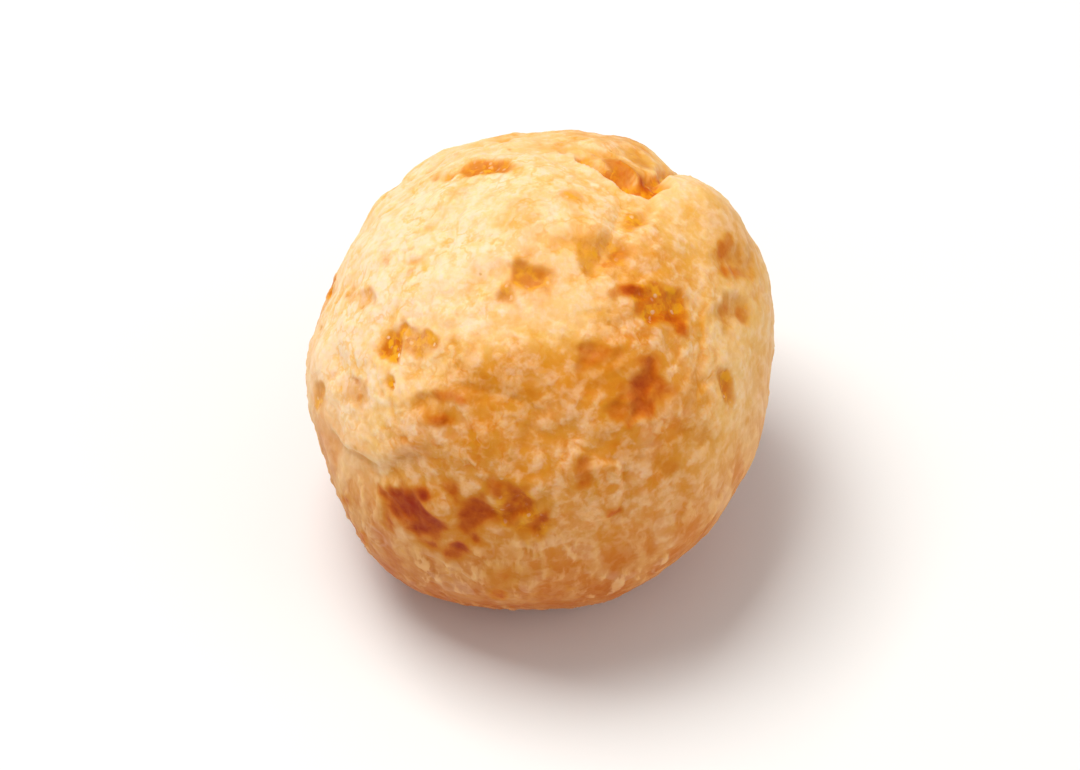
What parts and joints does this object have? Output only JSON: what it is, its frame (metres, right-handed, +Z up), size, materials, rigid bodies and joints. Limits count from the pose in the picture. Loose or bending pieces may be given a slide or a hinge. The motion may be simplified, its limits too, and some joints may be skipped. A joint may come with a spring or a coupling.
{
  "type": "pao de queijo cheese ball",
  "caption": "Baked cheese ball: a round bread with a thin craggy golden crust, burst window pits and a split over one shoulder, standing on a small flat base.",
  "frame": {"origin": "middle of the flat base that the ball was baked on and stands on", "axes": "+Z up through the crown, -Y towards the side with the long shelf and the window pits, +X towards the side with the split"},
  "size_m": [0.0495, 0.0509, 0.0472],
  "materials": {
    "crust": "thin baked cheese crust: cream skin over gold, amber in the pits, tan on the lower side, soft satin"
  },
  "bodies": {
    "root": {"cheese_ball": "crust"}
  },
  "joints": []
}
